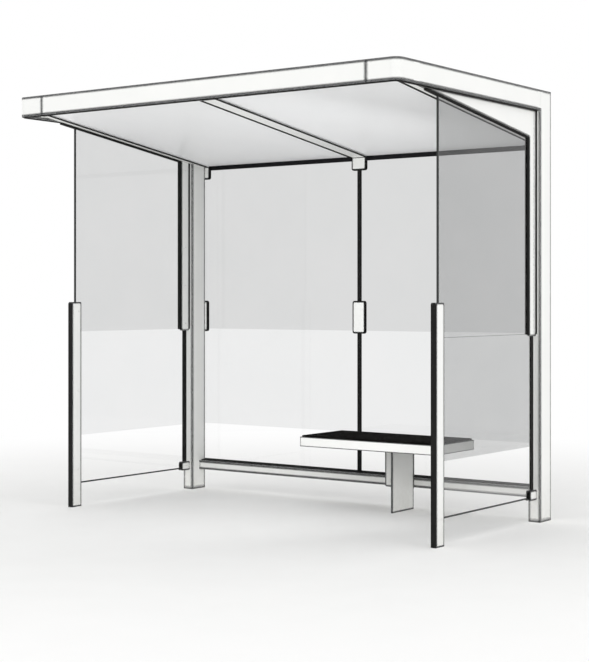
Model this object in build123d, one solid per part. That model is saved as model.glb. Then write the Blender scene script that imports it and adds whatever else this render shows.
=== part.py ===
from build123d import *
import math
import os

# Bus shelter: a welded steel portal frame with an overhanging roof, glazed on the
# back and on both sides, with a slatted bench.  X runs along the shelter, -Y is the
# open front, Z is up.  The origin is on the ground, below the middle of the shelter.

# ---- Overall sizes (mm) ------------------------------------------------------------
shelter_length = 2766.0
shelter_height = 2565.0
roof_reach = 1707.0         # front of the fascia to the rear faces of the rear posts
rear_drip = 35.0            # roof panels past the rear faces of the rear posts

# ---- Rear posts and the roof frame ---------------------------------------------------
post_width = 80.0
post_depth = 140.0
post_wall = 5.0
post_corner = 4.0           # outer corner radius of the hollow section
foot_plate = 12.0
drain_diameter = 24.0
beam_height = 120.0
beam_width = 45.0
beam_wall = 4.0
frame_corner_radius = 50.0  # rounded front corners of the roof frame, seen from above
corner_return = 200.0       # how far each corner piece runs along the front
fascia_gap = 2.5            # open butt joint between a corner piece and the fascia
sleeve_length = 160.0
sleeve_wall = 4.0

# ---- Roof ----------------------------------------------------------------------------
roof_pitch = 7.82           # degrees, falling to the rear
roof_drop = 315.0           # top of the frame to the roof bars' underside at the rear
roof_front_gap = 118.0      # back of the fascia to the front edge of the roof panels
roof_panel_thickness = 10.0
rafter_width = 100.0
rafter_flange = 7.0
rafter_web = 8.0
rafter_web_height = 60.0
edge_angle_width = 45.0
edge_angle_upstand = 30.0
edge_angle_wall = 5.0
panel_clearance = 3.0
rafter_seal_width = 5.0

# ---- Glass ---------------------------------------------------------------------------
pane_thickness = 10.0
pane_bottom = 146.0
rear_pane_top_gap = 6.0     # below the roof bars
rear_pane_lap = 40.0        # how far a rear pane reaches behind its post
rear_pane_joint = 14.0      # gap between the two rear panes
joint_seal_width = 28.0     # lips of the seal in that gap, over both pane edges
joint_seal_lip = 2.0
rear_tape = 2.0             # bedding tape between a post and its rear pane
tape_width = 30.0
pane_hole_diameter = 12.0

# ---- Side walls ------------------------------------------------------------------------
clamp_plate = 6.0           # plates that hold a side pane between them
clamp_depth = 82.0
clamp_bottom = 1106.0
clamp_corner = 10.0
plate_nose = 6.0            # height of the blunt front end of an outer plate
plate_lap = 38.0            # inner plate above the beam's underside and the roof bars
pane_rear_gap = 27.0        # rear post to the rear edge of a side pane
pane_edge_clearance = 5.0
front_post_width = 33.0
front_post_depth = 82.0
front_post_height = 1306.0
front_post_corner = 8.0
front_post_setback = 411.0  # front of the fascia to the front of a front post
pane_front_cover = 37.0     # front face of a front post to the pane edge inside it
nosing = 3.0                # rubber nosing on the front face of a front post
shoe_bottom = 135.0
shoe_height = 60.0

# ---- Rear wall -------------------------------------------------------------------------
jaw_thickness = 8.0         # steel jaws of the point clamps on the rear panes
jaw_corner = 8.0
top_jaw_width = 100.0
top_jaw_height = 78.0
mid_jaw_width = 86.0
mid_jaw_height = 200.0
end_top_width = 37.0
end_mid_width = 20.0
stud_diameter = 8.0
head_trim_height = 30.0
head_trim_depth = 6.0
head_trim_clearance = 0.3   # below the roof panels
rail_size = 60.0
rail_wall = 3.0
rail_bottom = 135.0
rail_to_posts = 6.0         # rear face of the rail to the posts' rear faces
rail_gasket_height = 40.0

# ---- Bench -----------------------------------------------------------------------------
seat_length = 980.0
seat_depth = 460.0
seat_centre_x = 401.0
seat_underside = 400.0
seat_frame_height = 60.0
seat_frame_wall = 8.0
seat_rib = 10.0
seat_rib_overhang = 150.0   # outer ribs in from the ends of the frame
slat_count = 9
slat_gap = 9.0
slat_thickness = 25.0
slat_proud = 10.0           # slats above the frame
slat_edge_radius = 3.0
slat_end_gap = 1.5
leg_offset = 57.0           # from the middle of the seat
leg_thickness = 10.0
leg_width = 250.0
bracket_thickness = 8.0
bracket_width = 214.0
bracket_drop = 8.0          # below the rail
bracket_top_drop = 5.0      # below the top of the seat frame
bracket_corner = 10.0

cut_spare = 20.0            # how far cutting shapes run past what they cut

# ---- Places that follow from the sizes -----------------------------------------------
half_length = shelter_length / 2
post_rear_y = (roof_reach - rear_drip) / 2
front_y = post_rear_y - roof_reach
post_front_y = post_rear_y - post_depth
post_inner_x = half_length - post_width
beam_inner_x = half_length - beam_width
beam_underside = shelter_height - beam_height
joint_x = half_length - corner_return
slope = math.tan(math.radians(roof_pitch))
roof_seat_height = shelter_height - roof_drop
roof_front_y = front_y + beam_width + roof_front_gap

plate_inner_x = beam_inner_x - clamp_plate
pane_outer_x = beam_inner_x + pane_thickness
pane_x = beam_inner_x + pane_thickness / 2
front_post_y = front_y + front_post_setback
side_pane_front_y = front_post_y + pane_front_cover
side_pane_rear_y = post_front_y - pane_rear_gap

glass_y = post_rear_y + rear_tape
glass_rear_y = glass_y + pane_thickness
jaw_rear_y = glass_rear_y + jaw_thickness
rail_rear_y = post_rear_y - rail_to_posts
rail_front_y = rail_rear_y - rail_size
bracket_front_y = rail_front_y - bracket_thickness
seat_rear_y = bracket_front_y
seat_front_y = seat_rear_y - seat_depth
seat_top = seat_underside + seat_frame_height
slat_bottom = seat_top + slat_proud - slat_thickness
leg_x = seat_centre_x + leg_offset

roof_plane = Plane(
    origin=(0, post_rear_y, roof_seat_height),
    x_dir=(1, 0, 0),
    z_dir=(0, math.sin(math.radians(roof_pitch)), math.cos(math.radians(roof_pitch))),
)


def roof_underside(y):
    """Height of the underside of the roof bars at a place from front to back."""
    return roof_seat_height + (post_rear_y - y) * slope


rear_pane_top = roof_underside(glass_rear_y) - rear_pane_top_gap


# ---- Helpers ---------------------------------------------------------------------------
def block(x0, x1, y0, y1, z0, z1):
    """A square-edged block between two opposite corners."""
    size = Box(x1 - x0, y1 - y0, z1 - z0)
    return Pos((x0 + x1) / 2, (y0 + y1) / 2, (z0 + z1) / 2) * size


def roof_block(x0, x1, y0, y1, lift, thickness):
    """A bar or sheet on the roof slope, with its ends cut plumb."""
    run = math.cos(math.radians(roof_pitch))
    spare = lift + thickness
    s0 = (y0 - post_rear_y) / run - spare
    s1 = (y1 - post_rear_y) / run + spare
    size = Box(x1 - x0, s1 - s0, thickness)
    centre = Pos((x0 + x1) / 2, (s0 + s1) / 2, lift + thickness / 2)
    plumb = block(x0, x1, y0, y1, 0, 2 * shelter_height)
    return (roof_plane.location * centre * size) & plumb


def side_sheet(x0, thickness, points, rounded):
    """A sheet parallel to the side walls, with some of its corners rounded."""
    face = make_face(Polyline(*points, close=True))
    if rounded:
        corners = [v for v in face.vertices() if (round(v.X, 3), round(v.Y, 3)) in rounded]
        face = fillet(corners, clamp_corner)
    return extrude(Plane.YZ.offset(x0) * face, thickness)


def front_sheet(y0, thickness, x0, x1, z0, z1, radius, round_top):
    """A plate parallel to the rear wall with its bottom, or all, corners rounded."""
    face = Pos((x0 + x1) / 2, (z0 + z1) / 2) * Rectangle(x1 - x0, z1 - z0)
    corners = face.vertices()
    if not round_top:
        corners = corners.sort_by(Axis.Y)[:2]
    face = fillet(corners, radius)
    return extrude(Plane.XZ.offset(-y0) * face, -thickness)


def both_sides(name, shape):
    """The same piece on the right and, mirrored, on the left."""
    pieces[name + "_right"] = shape
    pieces[name + "_left"] = mirror(shape, about=Plane.YZ)


pieces = {}


# ---- Rear posts ------------------------------------------------------------------------
def rear_post():
    outer = Rectangle(post_width, post_depth)
    outer = fillet(outer.vertices(), post_corner)
    inner = Rectangle(post_width - 2 * post_wall, post_depth - 2 * post_wall)
    shell = extrude(outer, shelter_height)
    cavity = extrude(inner, shelter_height - foot_plate - post_wall)
    shell -= Pos(0, 0, foot_plate) * cavity
    shell -= Cylinder(drain_diameter / 2, 4 * foot_plate)
    centre = Pos(half_length - post_width / 2, post_rear_y - post_depth / 2, 0)
    return centre * shell


both_sides("rear_post", rear_post())


# ---- Side beams with the rounded front corners -----------------------------------------
def corner_outline(inset, past_ends):
    """The bent section seen from above, shrunk by a wall and run past its ends."""
    x_out = half_length - inset
    y_out = front_y + inset
    x_in = beam_inner_x + inset
    y_in = front_y + beam_width - inset
    points = [
        (x_out, post_front_y + past_ends),
        (x_out, y_out),
        (joint_x - past_ends, y_out),
        (joint_x - past_ends, y_in),
        (x_in, y_in),
        (x_in, post_front_y + past_ends),
    ]
    face = make_face(Polyline(*points, close=True))
    inner_radius = max(frame_corner_radius - beam_width, beam_wall / 2) + inset
    outer_corner = face.vertices().sort_by_distance((x_out, y_out, 0))[0]
    face = fillet(outer_corner, frame_corner_radius - inset)
    inner_corner = face.vertices().sort_by_distance((x_in, y_in, 0))[0]
    return fillet(inner_corner, inner_radius)


def side_beam():
    tube = extrude(corner_outline(0, 0), beam_height)
    cavity = extrude(corner_outline(beam_wall, cut_spare), beam_height - 2 * beam_wall)
    return Pos(0, 0, beam_underside) * (tube - Pos(0, 0, beam_wall) * cavity)


both_sides("side_beam", side_beam())


# ---- Fascia and the sleeves that join it to the corners ----------------------------------
def fascia():
    end = joint_x - fascia_gap
    tube = block(-end, end, front_y, front_y + beam_width, beam_underside, shelter_height)
    cavity = block(
        -end - cut_spare, end + cut_spare,
        front_y + beam_wall, front_y + beam_width - beam_wall,
        beam_underside + beam_wall, shelter_height - beam_wall,
    )
    return tube - cavity


def fascia_sleeve():
    middle = joint_x - fascia_gap / 2
    x0 = middle - sleeve_length / 2
    x1 = middle + sleeve_length / 2
    y0 = front_y + beam_wall
    y1 = front_y + beam_width - beam_wall
    z0 = beam_underside + beam_wall
    z1 = shelter_height - beam_wall
    tube = block(x0, x1, y0, y1, z0, z1)
    cavity = block(
        x0 - cut_spare, x1 + cut_spare,
        y0 + sleeve_wall, y1 - sleeve_wall,
        z0 + sleeve_wall, z1 - sleeve_wall,
    )
    return tube - cavity


pieces["fascia_front"] = fascia()
both_sides("fascia_sleeve", fascia_sleeve())


# ---- Roof bars and panels ----------------------------------------------------------------
def roof_rafter():
    """A T-bar: flange below the panels, web up between them and on to the fascia."""
    half = rafter_width / 2
    flange = roof_block(-half, half, roof_front_y, jaw_rear_y, 0, rafter_flange)
    web = roof_block(
        -rafter_web / 2, rafter_web / 2, front_y, jaw_rear_y,
        rafter_flange, rafter_web_height,
    )
    fascia_back = front_y + beam_width
    web -= block(-half, half, front_y - cut_spare, fascia_back, 0, 2 * shelter_height)
    return flange + web


def post_notch(clearance):
    """Room for a rear post in what lies on the roof slope, open to the rear."""
    x0 = post_inner_x - clearance
    x1 = half_length + cut_spare
    y0 = post_front_y - clearance
    y1 = post_rear_y + rear_drip + cut_spare
    return block(x0, x1, y0, y1, 0, 2 * shelter_height)


def roof_edge_angle():
    """An angle on the inner plate, notched round the rear post."""
    x0 = plate_inner_x - edge_angle_width
    ledge = roof_block(x0, plate_inner_x, roof_front_y, jaw_rear_y, 0, rafter_flange)
    upstand = roof_block(
        plate_inner_x - edge_angle_wall, plate_inner_x, roof_front_y, jaw_rear_y,
        0, edge_angle_upstand,
    )
    return ledge + upstand - post_notch(0)


def roof_panel():
    x0 = rafter_web / 2 + rafter_seal_width
    x1 = plate_inner_x - edge_angle_wall - panel_clearance
    rear_y = post_rear_y + rear_drip
    sheet = roof_block(x0, x1, roof_front_y, rear_y, rafter_flange, roof_panel_thickness)
    return sheet - post_notch(panel_clearance)


def rafter_seal():
    x0 = rafter_web / 2
    x1 = x0 + rafter_seal_width
    return roof_block(
        x0, x1, roof_front_y, jaw_rear_y, rafter_flange, roof_panel_thickness,
    )


pieces["roof_rafter"] = roof_rafter()
both_sides("roof_edge_angle", roof_edge_angle())
both_sides("roof_panel", roof_panel())
both_sides("rafter_seal", rafter_seal())


# ---- Side walls ----------------------------------------------------------------------------
def outer_plate():
    """Gusset below the beam, with a leg down the post and a packer behind the pane."""
    leg_y = post_front_y - clamp_depth
    tip_y = post_rear_y - (beam_underside - roof_seat_height) / slope
    nose_y = max(tip_y + plate_nose / slope, roof_front_y)
    points = [
        (nose_y, beam_underside),
        (post_front_y, beam_underside),
        (post_front_y, clamp_bottom),
        (leg_y, clamp_bottom),
        (leg_y, roof_underside(leg_y)),
        (nose_y, roof_underside(nose_y)),
    ]
    rounded = [(round(leg_y, 3), clamp_bottom), (round(post_front_y, 3), clamp_bottom)]
    sheet = side_sheet(pane_outer_x, clamp_plate, points, rounded)
    packer = block(
        beam_inner_x, pane_outer_x,
        side_pane_rear_y + pane_edge_clearance, post_front_y,
        clamp_bottom + clamp_corner, beam_underside,
    )
    return sheet + packer


def inner_plate():
    """The same gusset and leg, also lapped on the beam and run on below the roof edge."""
    leg_y = post_front_y - clamp_depth
    top = max(beam_underside, roof_underside(roof_front_y)) + plate_lap
    points = [
        (roof_front_y, top),
        (post_front_y, top),
        (post_front_y, clamp_bottom),
        (leg_y, clamp_bottom),
        (leg_y, roof_underside(leg_y)),
        (roof_front_y, roof_underside(roof_front_y)),
    ]
    rounded = [(round(leg_y, 3), clamp_bottom), (round(post_front_y, 3), clamp_bottom)]
    return side_sheet(plate_inner_x, clamp_plate, points, rounded)


def side_pane():
    return block(
        beam_inner_x, pane_outer_x, side_pane_front_y, side_pane_rear_y,
        pane_bottom, beam_underside - pane_edge_clearance,
    )


def front_post():
    """A bar split down to the pane's foot, so that its two cheeks hold the glass."""
    x0 = pane_x - front_post_width / 2
    x1 = pane_x + front_post_width / 2
    y1 = front_post_y + front_post_depth
    face = make_face(Polyline(
        (front_post_y, 0), (y1, 0), (y1, front_post_height),
        (front_post_y, front_post_height), close=True,
    ))
    face = fillet(face.vertices().sort_by(Axis.Y)[-2:], front_post_corner)
    bar = extrude(Plane.YZ.offset(x0) * face, x1 - x0)
    slot = block(
        beam_inner_x, pane_outer_x, front_post_y - cut_spare, y1 + cut_spare,
        pane_bottom, front_post_height + cut_spare,
    )
    return bar - slot


def front_nosing():
    """Rubber strip on the front face, with a web that fills the slot up to the glass."""
    x0 = pane_x - front_post_width / 2
    x1 = pane_x + front_post_width / 2
    top = front_post_height - front_post_corner
    cap = block(x0, x1, front_post_y - nosing, front_post_y, 0, top)
    web = block(
        beam_inner_x, pane_outer_x, front_post_y, side_pane_front_y, pane_bottom, top,
    )
    return cap + web


def pane_shoe():
    """Forked block on the rear post under the lower rear corner of a side pane."""
    x0 = pane_x - front_post_width / 2
    y0 = post_front_y - clamp_depth
    top = shoe_bottom + shoe_height
    face = make_face(Polyline(
        (y0, shoe_bottom), (post_front_y, shoe_bottom), (post_front_y, top),
        (y0, top), close=True,
    ))
    face = fillet(face.vertices(), front_post_corner)
    shoe = extrude(Plane.YZ.offset(x0) * face, front_post_width)
    slot = block(
        beam_inner_x, pane_outer_x,
        y0 - cut_spare, side_pane_rear_y + pane_edge_clearance,
        pane_bottom, top + cut_spare,
    )
    return shoe - slot


both_sides("outer_plate", outer_plate())
both_sides("inner_plate", inner_plate())
both_sides("side_pane", side_pane())
both_sides("front_post", front_post())
both_sides("front_nosing", front_nosing())
both_sides("pane_shoe", pane_shoe())


# ---- Rear wall -----------------------------------------------------------------------------
def stud(x, z):
    """Round stud that joins the two jaws of a clamp through the glass."""
    middle = Pos(x, (glass_y + glass_rear_y) / 2, z) * Rot(90, 0, 0)
    return middle * Cylinder(stud_diameter / 2, pane_thickness + jaw_thickness)


def jaws(x0, x1, z0, z1, round_top, studs):
    """Two plates on the faces of the glass with studs between them."""
    front = front_sheet(glass_y - jaw_thickness, jaw_thickness, x0, x1, z0, z1,
                        jaw_corner, round_top)
    back = front_sheet(glass_rear_y, jaw_thickness, x0, x1, z0, z1,
                       jaw_corner, round_top)
    clamp = front + back
    for x, z in studs:
        clamp += stud(x, z)
    return clamp


above_roof_bars = roof_block(
    -half_length, half_length, front_y, post_rear_y + post_depth, 0, shelter_height,
)
top_jaw_z = roof_seat_height - top_jaw_height
top_stud_z = top_jaw_z + top_jaw_height / 2
mid_jaw_top = clamp_bottom + mid_jaw_height
mid_stud_zs = (clamp_bottom + mid_jaw_height / 4, mid_jaw_top - mid_jaw_height / 4)
end_top_stud_x = post_inner_x - end_top_width / 2
end_mid_stud_x = post_inner_x - end_mid_width / 2


def top_clamp(x0, x1, stud_x):
    reach = roof_underside(glass_y - jaw_thickness) + cut_spare
    clamp = jaws(x0, x1, top_jaw_z, reach, False, [(stud_x, top_stud_z)])
    return clamp - above_roof_bars


def mid_clamp(x0, x1, stud_x):
    studs = [(stud_x, z) for z in mid_stud_zs]
    return jaws(x0, x1, clamp_bottom, mid_jaw_top, True, studs)


def rear_pane():
    x0 = rear_pane_joint / 2
    x1 = post_inner_x + rear_pane_lap
    pane = block(x0, x1, glass_y, glass_rear_y, pane_bottom, rear_pane_top)
    holes = [(end_top_stud_x, top_stud_z)] + [(end_mid_stud_x, z) for z in mid_stud_zs]
    for x, z in holes:
        drill = Cylinder(pane_hole_diameter / 2, 4 * pane_thickness)
        pane -= Pos(x, glass_y, z) * Rot(90, 0, 0) * drill
    return pane


def joint_seal():
    """H-section strips in the joint of the rear panes, below and above its middle clamp."""
    half_joint = rear_pane_joint / 2
    half = joint_seal_width / 2
    strips = []
    for z0, z1 in ((rail_bottom + rail_size, clamp_bottom), (mid_jaw_top, top_jaw_z)):
        strip = block(-half_joint, half_joint, glass_y, glass_rear_y, z0, z1)
        strip += block(-half, half, glass_y - joint_seal_lip, glass_y, z0, z1)
        strip += block(-half, half, glass_rear_y, glass_rear_y + joint_seal_lip, z0, z1)
        strips.append(strip)
    return Compound(children=strips)


def rear_rail():
    tube = block(
        -post_inner_x, post_inner_x, rail_front_y, rail_rear_y,
        rail_bottom, rail_bottom + rail_size,
    )
    cavity = block(
        -post_inner_x - cut_spare, post_inner_x + cut_spare,
        rail_front_y + rail_wall, rail_rear_y - rail_wall,
        rail_bottom + rail_wall, rail_bottom + rail_size - rail_wall,
    )
    return tube - cavity


def rail_gasket():
    middle = (pane_bottom + rail_bottom + rail_size) / 2
    return block(
        -post_inner_x, post_inner_x, rail_rear_y, glass_y,
        middle - rail_gasket_height / 2, middle + rail_gasket_height / 2,
    )


def head_trim():
    run = math.cos(math.radians(roof_pitch))
    top = roof_underside(glass_y) + rafter_flange / run - head_trim_clearance
    return block(
        top_jaw_width / 2, post_inner_x - end_top_width, glass_y - head_trim_depth,
        glass_y, top - head_trim_height, top,
    )


def bedding_tape():
    middle = post_inner_x + rear_pane_lap / 2
    return block(
        middle - tape_width / 2, middle + tape_width / 2, post_rear_y, glass_y,
        pane_bottom + tape_width, rear_pane_top - tape_width,
    )


both_sides("rear_pane", rear_pane())
pieces["joint_seal"] = joint_seal()
pieces["top_clamp_centre"] = top_clamp(-top_jaw_width / 2, top_jaw_width / 2, 0)
both_sides("top_clamp", top_clamp(post_inner_x - end_top_width, post_inner_x, end_top_stud_x))
pieces["mid_clamp_centre"] = mid_clamp(-mid_jaw_width / 2, mid_jaw_width / 2, 0)
both_sides("mid_clamp", mid_clamp(post_inner_x - end_mid_width, post_inner_x, end_mid_stud_x))
both_sides("head_trim", head_trim())
both_sides("bedding_tape", bedding_tape())
pieces["rear_rail"] = rear_rail()
pieces["rail_gasket"] = rail_gasket()


# ---- Bench ---------------------------------------------------------------------------------
seat_x0 = seat_centre_x - seat_length / 2
seat_x1 = seat_centre_x + seat_length / 2


def seat_frame():
    """Flat-bar rim with three ribs, the middle one over the leg."""
    rim = block(seat_x0, seat_x1, seat_front_y, seat_rear_y, seat_underside, seat_top)
    rim -= block(
        seat_x0 + seat_frame_wall, seat_x1 - seat_frame_wall,
        seat_front_y + seat_frame_wall, seat_rear_y - seat_frame_wall,
        seat_underside - cut_spare, seat_top + cut_spare,
    )
    for x in (seat_x0 + seat_rib_overhang, leg_x, seat_x1 - seat_rib_overhang):
        rim += block(
            x - seat_rib / 2, x + seat_rib / 2,
            seat_front_y + seat_frame_wall / 2, seat_rear_y - seat_frame_wall / 2,
            seat_underside, slat_bottom,
        )
    return rim


def seat_slats():
    room = seat_depth - 2 * seat_frame_wall - 2 * slat_end_gap
    width = (room - (slat_count - 1) * slat_gap) / slat_count
    first_y = seat_front_y + seat_frame_wall + slat_end_gap + width / 2
    length = seat_length - 2 * seat_frame_wall - 2 * slat_end_gap
    slat = Box(length, width, slat_thickness)
    top_edges = slat.edges().group_by(Axis.Z)[-1]
    slat = fillet(top_edges, slat_edge_radius)
    slats = []
    for i in range(slat_count):
        y = first_y + i * (width + slat_gap)
        slats.append(Pos(seat_centre_x, y, slat_bottom + slat_thickness / 2) * slat)
    return Compound(children=slats)


def seat_leg():
    return block(
        leg_x - leg_thickness / 2, leg_x + leg_thickness / 2,
        bracket_front_y - leg_width, bracket_front_y, 0, seat_underside,
    )


def seat_bracket():
    x1 = leg_x + leg_thickness / 2
    return front_sheet(
        bracket_front_y, bracket_thickness, x1 - bracket_width, x1,
        rail_bottom - bracket_drop, seat_top - bracket_top_drop, bracket_corner, True,
    )


pieces["seat_frame"] = seat_frame()
pieces["seat_slats"] = seat_slats()
pieces["seat_leg"] = seat_leg()
pieces["seat_bracket"] = seat_bracket()


# ---- Write one STEP file per piece ---------------------------------------------------------
os.makedirs("parts", exist_ok=True)
for name, shape in pieces.items():
    export_step(shape, f"parts/{name}.step")
    box = shape.bounding_box()
    print(f"{name:20s} {box.size.X:8.1f} {box.size.Y:8.1f} {box.size.Z:8.1f}")
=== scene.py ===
# %% [markdown]
# # A glazed bus shelter
# A white steel portal frame carries a sloping roof, three glass walls and a bench with
# black slats.  The exact shapes come from the CAD frame.  This script gives them their
# finishes, adds the small hardware that a shelter is put together with, and lights it.

# %% Load the CAD frame
import math

import bmesh
import bpy
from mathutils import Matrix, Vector


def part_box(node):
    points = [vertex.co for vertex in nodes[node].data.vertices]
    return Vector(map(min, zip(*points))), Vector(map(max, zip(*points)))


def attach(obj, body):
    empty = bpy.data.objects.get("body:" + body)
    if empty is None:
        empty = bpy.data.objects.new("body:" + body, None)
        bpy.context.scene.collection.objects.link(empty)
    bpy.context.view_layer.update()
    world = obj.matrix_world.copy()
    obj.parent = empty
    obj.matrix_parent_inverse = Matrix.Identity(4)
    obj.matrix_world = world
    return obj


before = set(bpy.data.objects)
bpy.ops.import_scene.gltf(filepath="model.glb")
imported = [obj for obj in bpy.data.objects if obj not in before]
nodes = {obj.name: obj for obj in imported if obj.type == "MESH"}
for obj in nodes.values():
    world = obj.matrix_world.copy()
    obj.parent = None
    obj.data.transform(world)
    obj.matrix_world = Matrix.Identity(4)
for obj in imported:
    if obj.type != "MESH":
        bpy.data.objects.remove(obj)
scene = bpy.context.scene
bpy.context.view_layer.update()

# %% [markdown]
# ## Working helpers for materials
# Colours are written the way a paint chart gives them, as sRGB hex.  Cycles works in
# linear light, so one function turns them.  Another turns a real size in millimetres into
# the scale of a pattern.  A third adds a node, sets it and links it in one line, so that a
# node tree reads from top to bottom like a recipe.

# %% Colour, pattern size and node helpers
def linear(code):
    """sRGB hex such as F1F1EF to linear red, green, blue and an alpha of one."""
    parts = [int(code[i:i + 2], 16) / 255 for i in (0, 2, 4)]
    return [c / 12.92 if c <= 0.04045 else ((c + 0.055) / 1.055) ** 2.4
            for c in parts] + [1.0]


def every(mm):
    """Pattern scale that repeats a feature about every so many millimetres."""
    return 1000.0 / mm


def add(tree, kind, inputs=None, **settings):
    """Add a node and return its outputs; inputs are values, or sockets to link to."""
    node = tree.nodes.new(kind)
    for name, value in settings.items():
        setattr(node, name, value)
    for name, value in (inputs or {}).items():
        if isinstance(value, bpy.types.NodeSocket):
            tree.links.new(value, node.inputs[name])
        else:
            node.inputs[name].default_value = value
    return node.outputs


def finish(name):
    """An empty material, its node tree and the place of a point on the shelter."""
    material = bpy.data.materials.new(name)
    material.use_nodes = True
    tree = material.node_tree
    tree.nodes.clear()
    place = add(tree, "ShaderNodeTexCoord")["Object"]
    return material, tree, place


print("white paint in linear light:", [round(c, 3) for c in linear("F1F1EF")])

# %% [markdown]
# ## White powder coat
# The frame is welded mild steel, blasted, primed in graphite grey and coated with white
# polyester powder, baked on.  That gives a satin film about 0.1 mm thick with a faint
# orange peel.  Every edge and every inner corner carries a dark line of painted shade in
# the primer's grey, broken up by noise, which outlines each part.  A Bevel node finds the
# edges: its normal is rounded over 20 mm and is compared with the flat one.  It also feels
# what lies behind a thin plate, so plates with ribs or studs behind them get a reach of
# 10 mm.  Small hardware is coated before it is fitted and gets a reach under 1 mm, so it
# has almost no line.  Where a beam meets its post, the weld is ground flush before coating,
# so no edge shows there: a box in space marks each such joint and holds the painted edge
# shade back.  Dust settles near the ground.

# %% White powder coat
DUST_HEIGHT = 0.30
beam_low, beam_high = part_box("side_beam_right")
beam_middle = (beam_high.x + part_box("inner_plate_right")[1].x) / 2
GROUND_JOINTS = (
    ((beam_middle, beam_high.y, (beam_low.z + beam_high.z) / 2), (0.030, 0.030, 0.048)),
    ((beam_middle, beam_high.y, beam_high.z), (0.0125, 0.030, 0.010)),
)


def flatness(tree, reach, samples):
    """One on a flat surface and less near an edge; reach is in metres."""
    flat = add(tree, "ShaderNodeNewGeometry")["Normal"]
    broad = add(tree, "ShaderNodeBevel", {"Radius": reach}, samples=samples)["Normal"]
    return add(tree, "ShaderNodeVectorMath", {0: broad, 1: flat},
               operation="DOT_PRODUCT")["Value"]


def powder_coat(name, edge_reach, ground_joints=()):
    """White coat on dark primer, with painted shade along the edges; edge_reach is how far
    from an edge that dark line reaches, in metres.

    ground_joints are boxes without the painted edge shade: each is its middle and half its
    size, and counts on both sides of the shelter.
    """
    material, tree, place = finish(name)
    cloud, spots, edge_shade_noise, peel = (
        add(tree, "ShaderNodeTexNoise",
            {"Vector": place, "Scale": every(mm), "Detail": detail})["Fac"]
        for mm, detail in ((240, 3.0), (28, 5.0), (11, 4.0), (2.4, 2.0)))
    paint = add(tree, "ShaderNodeMix", {0: cloud, 6: linear("F4F4F2"), 7: linear("EDEEEC")},
                data_type="RGBA")[2]
    height = add(tree, "ShaderNodeSeparateXYZ", {"Vector": place})["Z"]
    low_down = add(tree, "ShaderNodeMapRange",
                   {"Value": height, "From Min": DUST_HEIGHT, "From Max": 0.0,
                    "To Max": 0.45})["Result"]
    dust = add(tree, "ShaderNodeMath", {0: low_down, 1: spots}, operation="MULTIPLY")[0]
    colour = add(tree, "ShaderNodeMix",
                 {0: dust, 6: paint, 7: linear("B9B5AB")}, data_type="RGBA")[2]
    # Painted shade: a dark line along every edge and in inner corners, where the rounded
    # normal turns away from the flat one.
    along = flatness(tree, edge_reach, 8)
    edge_shade_from = add(tree, "ShaderNodeMapRange",
                    {"Value": edge_shade_noise, "To Min": 0.999, "To Max": 0.996})["Result"]
    painted_edge_shade = add(tree, "ShaderNodeMapRange",
               {"Value": along, "From Min": edge_shade_from, "From Max": 0.992})["Result"]
    mirrored = add(tree, "ShaderNodeVectorMath", {0: place}, operation="ABSOLUTE")[0]
    for middle, half in ground_joints:
        away = mirrored
        for operation, given in (("SUBTRACT", {1: middle}), ("ABSOLUTE", {}),
                                 ("DIVIDE", {1: half})):
            away = add(tree, "ShaderNodeVectorMath", {0: away, **given},
                       operation=operation)[0]
        away = add(tree, "ShaderNodeSeparateXYZ", {"Vector": away})
        kept = away["X"]  # becomes one outside the box and zero in it, times the painted edge shade
        for operation, value in (("MAXIMUM", away["Y"]), ("MAXIMUM", away["Z"]),
                                 ("GREATER_THAN", 1.0), ("MULTIPLY", painted_edge_shade)):
            kept = add(tree, "ShaderNodeMath", {0: kept, 1: value}, operation=operation)[0]
        painted_edge_shade = kept
    # Painted edge shade: the primer's dark grey is laid over the paint along the edges and
    # in inner corners.
    colour = add(tree, "ShaderNodeMix",
                 {0: painted_edge_shade, 6: colour, 7: linear("26282A")}, data_type="RGBA")[2]
    gloss = add(tree, "ShaderNodeMapRange",
                {"Value": spots, "To Min": 0.36, "To Max": 0.50})["Result"]
    soft_edge = add(tree, "ShaderNodeBevel", {"Radius": 0.0015}, samples=4)["Normal"]
    surface = add(tree, "ShaderNodeBump",
                  {"Height": peel, "Strength": 0.25, "Distance": 0.0002,
                   "Normal": soft_edge})["Normal"]
    coat = add(tree, "ShaderNodeBsdfPrincipled",
               {"Base Color": colour, "Roughness": gloss, "IOR": 1.5, "Normal": surface})
    add(tree, "ShaderNodeOutputMaterial", {"Surface": coat[0]})
    print(name, "nodes:", len(tree.nodes))
    return material


coated_steel = powder_coat("powder_coated_steel", 0.020, GROUND_JOINTS)
coated_plate = powder_coat("powder_coated_plate", 0.010)
coated_hardware = powder_coat("powder_coated_hardware", 0.0008)

# %% [markdown]
# ## Tinted wall glass
# The walls are 10 mm toughened glass with ground edges and a grey film in two bands: a
# darker one down to waist height and a paler one down to the seat, with clear glass below.
# The right pane has the same film all the way down to the seat, and its two sheets lap
# over each other at the waist, which draws a thin line.  Glass tints light once for each
# face that it crosses, and the shader splits a colour between the two, so the hex is what
# one pane does to white.  Lamps can't find their way through bent glass, so shadow rays
# pass a Transparent shader with the root of that tint.  A thin coat takes away most of
# its mirror image, so that people can look out for the bus, and the specular tint says how
# much of it is left.  The edges of a pane look nearly black, and on the side panes the free
# edges also carry a narrow border of black ceramic enamel.

# %% Tinted wall glass
BAND_TOP = 1.118
BAND_FOOT = 0.454
FILM_EDGE = 0.001
MIRROR_SHARE = 0.3
side_low, side_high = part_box("side_pane_right")


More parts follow.
